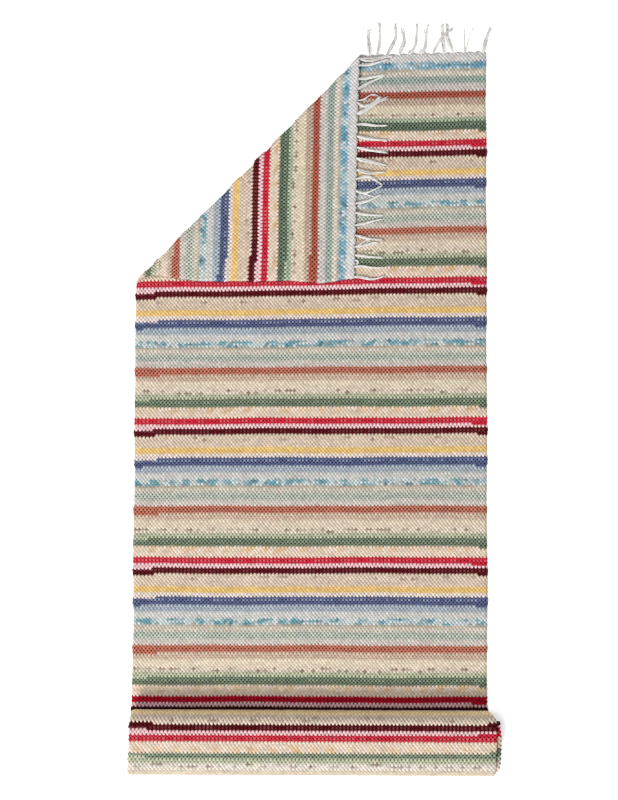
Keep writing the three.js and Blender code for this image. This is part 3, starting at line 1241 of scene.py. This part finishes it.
FLAT_LOCKS: tuple[Lock, ...] = (
    Lock(116.5, ((14.5, -1.4), (29, -2.2), (39, -3.6), (51, -1.4)), 13, 4.0),
    Lock(129.7, ((10, 3.8), (22, 6.3), (44, 8.1), (63, 7.3)), 10, 2.6),
    Lock(129.7, ((9, 9.5), (18, 11)), 1, 0.3),
    Lock(150.7, ((12, 6), (29, 18.8), (42, 20.2), (61, 18.8)), 11, 3.4),
    Lock(175.4, ((9, 2.8), (20.5, 10.7), (31, 11.5), (51, 7)), 13, 4.0),
    Lock(197, ((8.6, 7.5), (22, 13.8), (44, 15.6), (60, 15.6)), 10, 2.7),
    Lock(197, ((2, -2), (8, -1), (10, 6), (6, 11), (1, 8)), 2, 0.9),
    Lock(220, ((8, 6.7), (20, 10.7), (43, 12.3), (59, 16)), 10, 2.7),
    Lock(221, ((18, 9), (36, 9), (49, 6)), 3, 1.2),
    Lock(220, ((2, -3), (8, -3), (11, 5), (7, 11), (1, 9)), 2, 0.9),
    Lock(242.6, ((25, 15), (39, 29.6), (49, 44)), 8, 2.5, over=6.0),
    Lock(267, ((16, -2), (35, -2.8), (57, -3.4)), 13, 3.9),
    Lock(284.5, ((17.6, -6.5), (35, -12.3), (57, -11.5)), 13, 4.1),
    Lock(308, ((26, 1), (63, 0)), 2, 0.9),
    Lock(309, ((22, 6.7), (52, 18)), 2, 0.7),
    Lock(331, ((4, 2), (5, 7), (1, 9)), 2, 0.8),
    Lock(345.6, ((20, 5), (37, 10.9), (48, 17)), 13, 3.6),
)
FOLDED_LOCKS: tuple[Lock, ...] = (
    Lock(85, ((21, -2), (48, 4), (72, 7)), 8, 3.5),
    Lock(71, ((24, 4), (47, 10), (66, 15)), 6, 2.0),
    Lock(44, ((15, 2), (35, 6.3), (60, 9.3)), 7, 2.4),
    Lock(23, ((14, 10), (32, 19), (57, 30)), 7, 2.2),
    Lock(-2.4, ((11, -9), (24, -8), (36, -1.6), (51, 13.5)), 7, 2.2),
    Lock(1, ((16, 2), (23, 10.5), (33, 15.6), (44, 10.5)), 2, 0.7),
    Lock(-25.6, ((14, 6), (31, 15), (49, 29), (66, 33)), 7, 2.6),
    Lock(-28, ((18, 5), (32, 18), (50, 33)), 2, 0.8),
    Lock(-47, ((16.5, 1.2), (39, -2.6), (64, -2.6)), 7, 2.1),
    Lock(-71, ((24, -5), (64, -10)), 6, 2.4),
    Lock(-93, ((21, -5), (46, -9), (66, -11)), 7, 2.0),
    Lock(-115.6, ((19, -5), (39, -8.5), (64, -17.6)), 7, 3.1),
    Lock(-138, ((25, -7.7), (63, -7.7)), 7, 2.9),
    Lock(-158.6, ((12.5, 5), (27.6, 9), (40, 0), (55, -11.3)), 6, 1.9),
    Lock(-181.5, ((19, -6.3), (36.6, 1.4), (56.7, 10)), 6, 1.7),
    Lock(-179, ((19, -8), (41, -16)), 2, 0.8),
    Lock(-207, ((18, 2.6), (38, 10), (56, 19)), 6, 1.8),
    Lock(-225.6, ((23, -4), (60, -6.7)), 6, 1.9),
    Lock(-251, ((20, 3.6), (40, 10), (60, 13.7)), 6, 1.8),
    Lock(-270, ((20, -6), (40, -10), (60, -11.3)), 6, 1.8),
    Lock(-294, ((12.7, 3.8), (22.7, 14), (31, 16.4), (36, 10)), 2, 0.8),
    Lock(-294, ((25, 2.6), (40, 10), (52, 3.8)), 6, 1.8),
    Lock(-311, ((19, -1.2), (37, -4), (61, -6)), 6, 1.9),
    Lock(-322, ((7, 1), (11, -3), (7, -8), (1, -7)), 6, 1.4),
    Lock(-334, ((20, 1.4), (43, -3.4), (64, -1.2)), 6, 1.8),
    Lock(-354, ((17.5, -1.4), (37.6, -6.3), (55, -3.4), (64, 0.6)), 6, 1.8),
)


@dataclass
class Fringe:
    """The warp ends along one part of the rug's end, each lock a loose bundle of threads."""

    name: str
    node: str
    locks: tuple[Lock, ...]
    folded: bool
    laying: Laying
    origin: Array
    seed: int
    reach: float = 1.0
    steps: int = 18
    sides: int = 5
    softness: int = 7
    thread_radius: float = 0.95
    taper: float = 0.4
    uneven_length: float = 0.08
    uneven_turn: float = 0.3
    # how narrow a lock is at its root and its tip, and the shares of its length where that changes
    root_narrow: float = 0.6
    root_ends: float = 0.25
    tip_narrow: float = 0.6
    tip_starts: tuple[float, float] = (0.35, 0.85)
    twist: float = 0.8
    fray: float = 0.7
    fray_from: float = 0.55
    ripple: float = 0.3
    ripple_turns: tuple[float, float] = (9.0, 2.0)
    heaped: float = 0.45
    over_from: float = 0.25
    tucked: float = 1.0
    falls_by: float = 0.3
    clear: float = 0.4
    root_lift: float = 1.6

    def _route(self, lock: Lock) -> Array:
        """Draw a soft line from a lock's root past its bends.

        Args:
            lock: The lock.

        Returns:
            Points out and aside of the root, evenly along the line.
        """
        bends = np.array([(0.0, 0.0), *lock.bends]) * (self.reach, 1.0)
        gone = np.concatenate([[0.0], np.cumsum(np.linalg.norm(np.diff(bends, axis=0), axis=1))])
        even = np.linspace(0.0, gone[-1], self.steps)
        route = np.stack([np.interp(even, gone, bends[:, axis]) for axis in range(2)], 1)
        for _ in range(self.softness):
            route[1:-1] = 0.5 * route[1:-1] + 0.25 * (route[:-2] + route[2:])
        return route

    def _thread(self, lock: Lock, turn: float, rng: np.random.Generator) -> tuple[Array, Array]:
        """Draw one thread of a lock.

        Args:
            lock: The lock.
            turn: The thread's place round the lock, in radians.
            rng: Source of chance.

        Returns:
            Points in millimetres and the thread's radius at each.
        """
        part = np.linspace(0.0, 1.0, self.steps)
        route = self._route(lock) * (1.0 - self.uneven_length * rng.random())
        ahead = np.gradient(route, axis=0)
        ahead /= np.linalg.norm(ahead, axis=1, keepdims=True)
        swell = 1.0 - self.root_narrow * (1.0 - smooth_step(0.0, self.root_ends, part))
        swell *= 1.0 - self.tip_narrow * smooth_step(*self.tip_starts, part)
        angle = turn + self.twist * part
        off = lock.wide * swell * np.cos(angle)
        off += lock.wide * rng.uniform(-self.fray, self.fray) * smooth_step(self.fray_from, 1.0, part)
        along_turns, round_turns = self.ripple_turns
        off += self.ripple * np.sin(along_turns * part + round_turns * turn)
        out = route[:, 0] - ahead[:, 1] * off
        aside = route[:, 1] + ahead[:, 0] * off
        radius = self.thread_radius * (1.0 - self.taper * part**2)
        height = radius + self.heaped * lock.wide * swell * (1.0 + np.sin(angle))
        return self._placed(lock, part, out, aside, height), radius

    def _placed(self, lock: Lock, part: Array, out: Array, aside: Array, height: Array) -> Array:
        """Lay a thread on the floor or, past the fold, on the rug's face.

        Args:
            lock: The thread's lock.
            part: Shares of the thread's length, from its root.
            out: How far each point lies out from the root.
            aside: How far each point lies aside of the root.
            height: How high each point lies over what it rests on.

        Returns:
            Points in millimetres.
        """
        root, end = np.array(lock.root), np.array(0.0)
        base = float(self.laying.slant(root, end) - self.laying.lag(root, end)) - self.tucked
        fall = smooth_step(0.0, self.falls_by, part)
        if self.folded:
            start, _ = self.laying.lay(np.array([lock.root]), np.array([base]))
            x, y, z = start[0]
            twice = 2.0 * self.laying.fold_angle
            x = x + aside * math.cos(twice) + out * math.sin(twice)
            y = y + aside * math.sin(twice) - out * math.cos(twice)
            z = z * (1.0 - fall) + (self.laying.thick + self.clear + height) * fall
        else:
            over = np.clip((part - self.over_from) / (1.0 - self.over_from), 0.0, 1.0)
            x = lock.root + aside
            y = base + out
            z = height + lock.over * np.sin(math.pi * over) + self.root_lift * (1.0 - fall)
        return np.stack([x, y, z], 1)

    def _tube(self, path: Array, radius: Array) -> tuple[Array, Array]:
        """Sweep a closed tube along a path.

        Args:
            path: Points of the path.
            radius: The tube's radius at each.

        Returns:
            Points and triangles.
        """
        ahead = np.gradient(path, axis=0)
        ahead /= np.linalg.norm(ahead, axis=1, keepdims=True)
        side = np.cross(ahead, np.array([0.0, 0.0, 1.0]))
        side /= np.linalg.norm(side, axis=1, keepdims=True)
        up = np.cross(side, ahead)
        angle = np.linspace(0.0, math.tau, self.sides, endpoint=False)[None, :, None]
        ring = side[:, None] * np.cos(angle) + up[:, None] * np.sin(angle)
        points = (path[:, None] + ring * radius[:, None, None]).reshape(-1, 3)
        steps, sides = len(path), self.sides
        rings = np.arange(steps - 1)[:, None] * sides
        here = (rings + np.arange(sides)).ravel()
        turned = (rings + (np.arange(sides) + 1) % sides).ravel()
        fan = np.arange(1, sides - 1)
        last = (steps - 1) * sides
        faces = [
            np.stack([here, turned + sides, turned], 1),
            np.stack([here, here + sides, turned + sides], 1),
            np.stack([np.zeros_like(fan), fan, fan + 1], 1),
            np.stack([np.full_like(fan, last), last + fan + 1, last + fan], 1),
        ]
        return points, np.concatenate(faces)

    def build(self, material: bpy.types.Material) -> bpy.types.Object:
        """Make the fringe's object.

        Args:
            material: The cotton finish.

        Returns:
            The fringe, riding on the part and standing for its solid.
        """
        rng = np.random.default_rng(self.seed)
        points, faces, count = [], [], 0
        for lock in self.locks:
            for thread in range(lock.threads):
                turn = math.tau * thread / lock.threads
                turn += rng.uniform(-self.uneven_turn, self.uneven_turn)
                place, triangles = self._tube(*self._thread(lock, turn, rng))
                points.append(place)
                faces.append(triangles + count)
                count += len(place)
        place = (np.concatenate(points) - self.origin) * MM
        piece = make_object(self.name, place, np.concatenate(faces), material)
        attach(piece, "root")
        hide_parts(self.node)
        LOG.info("%s: %d triangles", self.name, len(piece.data.polygons))
        return piece


class Nodes:
    """A short way to add shader nodes to one material."""

    def __init__(self, name: str) -> None:
        """Start an empty material.

        Args:
            name: The material's name.
        """
        self.material = bpy.data.materials.new(name)
        self.material.use_nodes = True
        self.tree = self.material.node_tree
        self.tree.nodes.clear()
        self.shader = self.add("ShaderNodeBsdfPrincipled")
        out = self.add("ShaderNodeOutputMaterial")
        self.link(self.shader.outputs["BSDF"], out.inputs["Surface"])

    def add(self, kind: str) -> bpy.types.Node:
        """Add a node.

        Args:
            kind: Blender's name for the kind of node.

        Returns:
            The node.
        """
        return self.tree.nodes.new(kind)

    def link(self, source: bpy.types.NodeSocket, target: bpy.types.NodeSocket) -> None:
        """Join two sockets.

        Args:
            source: An output.
            target: An input.
        """
        self.tree.links.new(source, target)

    def feed(self, target: bpy.types.NodeSocket, value: object) -> None:
        """Give an input its value.

        Args:
            target: The input.
            value: A socket to link it to, or a number or colour to set it to.
        """
        if isinstance(value, bpy.types.NodeSocket):
            self.link(value, target)
        else:
            target.default_value = value

    def math(self, operation: str, *values: object) -> bpy.types.NodeSocket:
        """Add a sum.

        Args:
            operation: Blender's name for it.
            values: Sockets or numbers.

        Returns:
            The result.
        """
        node = self.add("ShaderNodeMath")
        node.operation = operation
        for target, value in zip(node.inputs, values):
            self.feed(target, value)
        return node.outputs[0]

    def attribute(self, name: str) -> bpy.types.Node:
        """Read a value that the mesh carries.

        Args:
            name: The attribute's name.

        Returns:
            The node that reads it.
        """
        node = self.add("ShaderNodeAttribute")
        node.attribute_name = name
        return node

    def noise(self, place: bpy.types.NodeSocket, scale: float, detail: float) -> bpy.types.NodeSocket:
        """Add soft noise.

        Args:
            place: Where on the surface it is read.
            scale: How fine it is.
            detail: How many finer layers it has.

        Returns:
            The noise, about 0.5.
        """
        node = self.add("ShaderNodeTexNoise")
        self.feed(node.inputs["Scale"], scale)
        self.feed(node.inputs["Detail"], detail)
        self.link(place, node.inputs["Vector"])
        return node.outputs["Fac"]

    def ease(
        self, value: bpy.types.NodeSocket, source: tuple[float, float], target: tuple[float, float]
    ) -> bpy.types.NodeSocket:
        """Map a value smoothly from one range to another.

        Args:
            value: The value.
            source: Start and end of its range.
            target: Results at the start and at the end.

        Returns:
            The result.
        """
        node = self.add("ShaderNodeMapRange")
        node.interpolation_type = "SMOOTHSTEP"
        self.link(value, node.inputs["Value"])
        for name, number in zip(("From Min", "From Max", "To Min", "To Max"), (*source, *target)):
            self.feed(node.inputs[name], number)
        return node.outputs["Result"]

    def mix(self, blend: str, factor: object, one: object, other: object) -> bpy.types.NodeSocket:
        """Mix two colours.

        Args:
            blend: Blender's name for the way to mix.
            factor: A socket or a number.
            one: First colour.
            other: Second colour.

        Returns:
            The mixed colour.
        """
        node = self.add("ShaderNodeMix")
        node.data_type = "RGBA"
        node.blend_type = blend
        for index, value in ((MIX_FACTOR, factor), (MIX_ONE, one), (MIX_OTHER, other)):
            self.feed(node.inputs[index], value)
        return node.outputs[MIX_RESULT]

    def surface(self, colour: object, roughness: float, shine: float) -> None:
        """Set how the surface looks.

        Args:
            colour: A socket or a colour.
            roughness: How matt it is.
            shine: How strongly it reflects.
        """
        self.feed(self.shader.inputs["Base Color"], colour)
        self.feed(self.shader.inputs["Roughness"], roughness)
        self.feed(self.shader.inputs["Specular IOR Level"], shine)


@dataclass(frozen=True)
class WeaveFinish:
    """Matt cotton rags: each high spot rounded, lightened on the dark rags as a painted highlight, each low
    spot darker with painted shade, with fibres along the pick.
    """

    name: str = "rag_weave"
    roughness: float = 0.95
    shine: float = 0.03
    relief: float = 0.0014
    bump: float = 0.9
    crossing: float = 0.5
    fibre: float = 0.16
    fibre_stretch: tuple[float, float, float] = (0.9, 5.0, 1.0)
    fibre_scale: float = 1.6
    fibre_detail: float = 4.0
    # how far fibres blur the border between a rag's high and low spots
    blur: float = 0.9
    border: tuple[float, float] = (-0.8, 0.5)
    fibre_range: tuple[float, float] = (0.25, 0.75)
    tone: tuple[float, float] = (0.9, 1.1)

    def _high(self, nodes: Nodes, place: bpy.types.NodeSocket) -> bpy.types.NodeSocket:
        """Work out how high the weave stands.

        Args:
            nodes: The material.
            place: Place on the weave, one warp and one pick to a unit.

        Returns:
            The height, 1 on a crossing where the rag lies on top, -1 where it dips under.
        """
        split = nodes.add("ShaderNodeSeparateXYZ")
        nodes.link(place, split.inputs["Vector"])
        turns = [nodes.math("MULTIPLY", split.outputs[axis], math.pi) for axis in ("X", "Y")]
        level = nodes.math("MULTIPLY", *(nodes.math("COSINE", turn) for turn in turns))
        aslant = nodes.math("MULTIPLY", *(nodes.math("SINE", turn) for turn in turns))
        return nodes.math("MULTIPLY_ADD", aslant, nodes.attribute("lean").outputs["Fac"], level)

    def build(self) -> bpy.types.Material:
        """Make the material.

        Returns:
            The woven material.
        """
        nodes = Nodes(self.name)
        uv = nodes.add("ShaderNodeUVMap")
        uv.uv_map = "weave"
        high = self._high(nodes, uv.outputs["UV"])
        stretch = nodes.add("ShaderNodeMapping")
        nodes.feed(stretch.inputs["Scale"], self.fibre_stretch)
        nodes.link(uv.outputs["UV"], stretch.inputs["Vector"])
        fibres = nodes.noise(stretch.outputs["Vector"], self.fibre_scale, self.fibre_detail)
        rough = nodes.math("MULTIPLY_ADD", fibres, self.blur, -self.blur / 2.0)
        factor = nodes.ease(nodes.math("ADD", high, rough), self.border, (0.0, 1.0))
        # mix the low spots' colour, with its painted shade, into the high spots' colour, with its painted
        # highlight
        deep, peak = (nodes.attribute(name).outputs["Color"] for name in ("deep", "dye"))
        colour = nodes.mix("MIX", factor, deep, peak)
        tone = nodes.ease(fibres, self.fibre_range, self.tone)
        nodes.surface(nodes.mix("MULTIPLY", 1.0, colour, tone), self.roughness, self.shine)
        crossing = nodes.math("MULTIPLY", high, self.crossing)
        bump = nodes.add("ShaderNodeBump")
        nodes.feed(bump.inputs["Strength"], self.bump)
        nodes.feed(bump.inputs["Distance"], self.relief)
        nodes.link(nodes.math("MULTIPLY_ADD", fibres, self.fibre, crossing), bump.inputs["Height"])
        nodes.link(bump.outputs["Normal"], nodes.shader.inputs["Normal"])
        return nodes.material


@dataclass(frozen=True)
class CottonFinish:
    """Off-white cotton warp ends."""

    name: str = "warp_fringe"
    colour: str = "eeece9"
    shade: str = "dcd9d5"
    roughness: float = 0.92
    shine: float = 0.2
    patch_scale: float = 120.0
    patch_detail: float = 2.0
    patch_range: tuple[float, float] = (0.3, 0.7)

    def build(self) -> bpy.types.Material:
        """Make the material.

        Returns:
            The cotton material.
        """
        nodes = Nodes(self.name)
        place = nodes.add("ShaderNodeTexCoord").outputs["Object"]
        patches = nodes.noise(place, self.patch_scale, self.patch_detail)
        factor = nodes.ease(patches, self.patch_range, (0.0, 1.0))
        shade, colour = ((*linear(code), 1.0) for code in (self.shade, self.colour))
        nodes.surface(nodes.mix("MIX", factor, shade, colour), self.roughness, self.shine)
        return nodes.material


@dataclass(frozen=True)
class FloorFinish:
    """A plain pale floor."""

    name: str = "pale_floor"
    colour: tuple[float, float, float, float] = (0.93, 0.93, 0.93, 1.0)
    roughness: float = 0.9
    shine: float = 0.1
    glow: float = 0.6

    def build(self) -> bpy.types.Material:
        """Make the material.

        Returns:
            The floor's material.
        """
        nodes = Nodes(self.name)
        nodes.surface(self.colour, self.roughness, self.shine)
        nodes.feed(nodes.shader.inputs["Emission Color"], self.colour)
        nodes.feed(nodes.shader.inputs["Emission Strength"], self.glow)
        return nodes.material


@dataclass(frozen=True)
class Lamp:
    """One soft rectangular lamp, in metres."""

    name: str
    place: tuple[float, float, float]
    aim: tuple[float, float, float]
    size: float
    watts: float


@dataclass
class Studio:
    """The floor, the light and the camera above the rug."""

    origin: Array
    camera_place: tuple[float, float, float] = (-3.163, -733.82, 1500.0)
    tilt: float = 0.025788
    twist: float = -0.003847
    focal_pixels: float = 749.68
    far: float = 60.0
    floor_size: float = 24.0
    floor_drop: float = 0.0004
    sky: float = 0.234
    lamps: tuple[Lamp, ...] = (
        Lamp("front", (-2.4, -6.4, 4.5), (0.0, -0.1, 0.0), 2.1, 638.0),
        Lamp("above", (-3.4, 1.6, 6.0), (0.0, 0.0, 0.0), 2.0, 194.0),
    )

    def floor(self) -> bpy.types.Object:
        """Lay the floor.

        Returns:
            The floor.
        """
        bpy.ops.mesh.primitive_plane_add(size=self.floor_size, location=(0.0, 0.0, -self.floor_drop))
        plane = bpy.context.object
        plane.name = "floor"
        plane.data.materials.append(FloorFinish().build())
        return plane

    def light(self) -> None:
        """Hang the lamps and set the sky."""
        world = bpy.data.worlds.new("studio")
        bpy.context.scene.world = world
        world.use_nodes = True
        back = world.node_tree.nodes["Background"]
        back.inputs["Color"].default_value = (1.0, 1.0, 1.0, 1.0)
        back.inputs["Strength"].default_value = self.sky
        for lamp in self.lamps:
            data = bpy.data.lights.new(lamp.name, "AREA")
            data.size = lamp.size
            data.energy = lamp.watts
            holder = bpy.data.objects.new(lamp.name, data)
            bpy.context.scene.collection.objects.link(holder)
            holder.location = lamp.place
            way = Vector(lamp.aim) - Vector(lamp.place)
            holder.rotation_euler = way.to_track_quat("-Z", "Y").to_euler()

    def camera(self) -> bpy.types.Object:
        """Set up the camera above the rug.

        Returns:
            The camera.
        """
        data = bpy.data.cameras.new("camera")
        data.sensor_fit = "VERTICAL"
        data.sensor_height = SENSOR_HEIGHT
        data.lens = self.focal_pixels * SENSOR_HEIGHT / IMAGE_HEIGHT
        data.clip_end = self.far
        holder = bpy.data.objects.new("camera", data)
        bpy.context.scene.collection.objects.link(holder)
        right = Vector((1.0, 0.0, 0.0))
        up = Vector((0.0, math.cos(self.tilt), math.sin(self.tilt)))
        ahead = Vector((0.0, math.sin(self.tilt), -math.cos(self.tilt)))
        turned_right = right * math.cos(self.twist) - up * math.sin(self.twist)
        turned_up = right * math.sin(self.twist) + up * math.cos(self.twist)
        axes = Matrix((turned_right, turned_up, -ahead)).transposed().to_4x4()
        place = (np.array(self.camera_place) - self.origin) * MM
        holder.matrix_world = Matrix.Translation(Vector(place)) @ axes
        bpy.context.scene.camera = holder
        return holder

    def build(self) -> None:
        """Set the whole studio up."""
        self.floor()
        self.light()
        self.camera()
        view = bpy.context.scene.view_settings
        view.view_transform = "Standard"
        view.look = "None"
        LOG.info("studio: floor, %d lamps, camera", len(self.lamps))


def lock_roots(apart: float = 9.0) -> Array:
    """List where the locks pull the rug's end in.

    Args:
        apart: Least distance between two roots that count as two.

    Returns:
        Places across the rug, in order.
    """
    kept: list[float] = []
    for root in sorted(lock.root for lock in (*FLAT_LOCKS, *FOLDED_LOCKS)):
        if not kept or root - kept[-1] > apart:
            kept.append(root)
    return np.array(kept)


def spread_origin(laying: Laying) -> Array:
    """Find where the rug's own origin lies in the shared frame.

    Args:
        laying: How the rug lies.

    Returns:
        The frame's origin, measured from the middle of the fringed end, in millimetres.
    """
    low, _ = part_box("rug_cloth")
    front = -(laying.roll_start + laying.roll_radius + laying.thick / 2.0)
    left = -laying.half - LEFT_BULGE
    return np.array([left - low[0] / MM, front - low[1] / MM, 0.0])


def main() -> None:
    """Build the rug, its fringes and the studio."""
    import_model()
    laying = Laying()
    origin = spread_origin(laying)
    LOG.info("frame origin from the fringed end: %s", np.round(origin, 3))
    chart = WeaveChart(laying.length, WARPS)
    cloth = RugCloth(laying, chart, origin, lock_roots()).build(WeaveFinish().build())
    cotton = CottonFinish().build()
    on_floor = Fringe(
        "fringe_threads_flat", "fringe_flat", FLAT_LOCKS, False, laying, origin, seed=11, reach=1.12
    )
    on_rug = Fringe("fringe_threads_folded", "fringe_folded", FOLDED_LOCKS, True, laying, origin, seed=12)
    flat = on_floor.build(cotton)
    over = on_rug.build(cotton)
    Studio(origin).build()


if __name__ == "__main__":
    main()
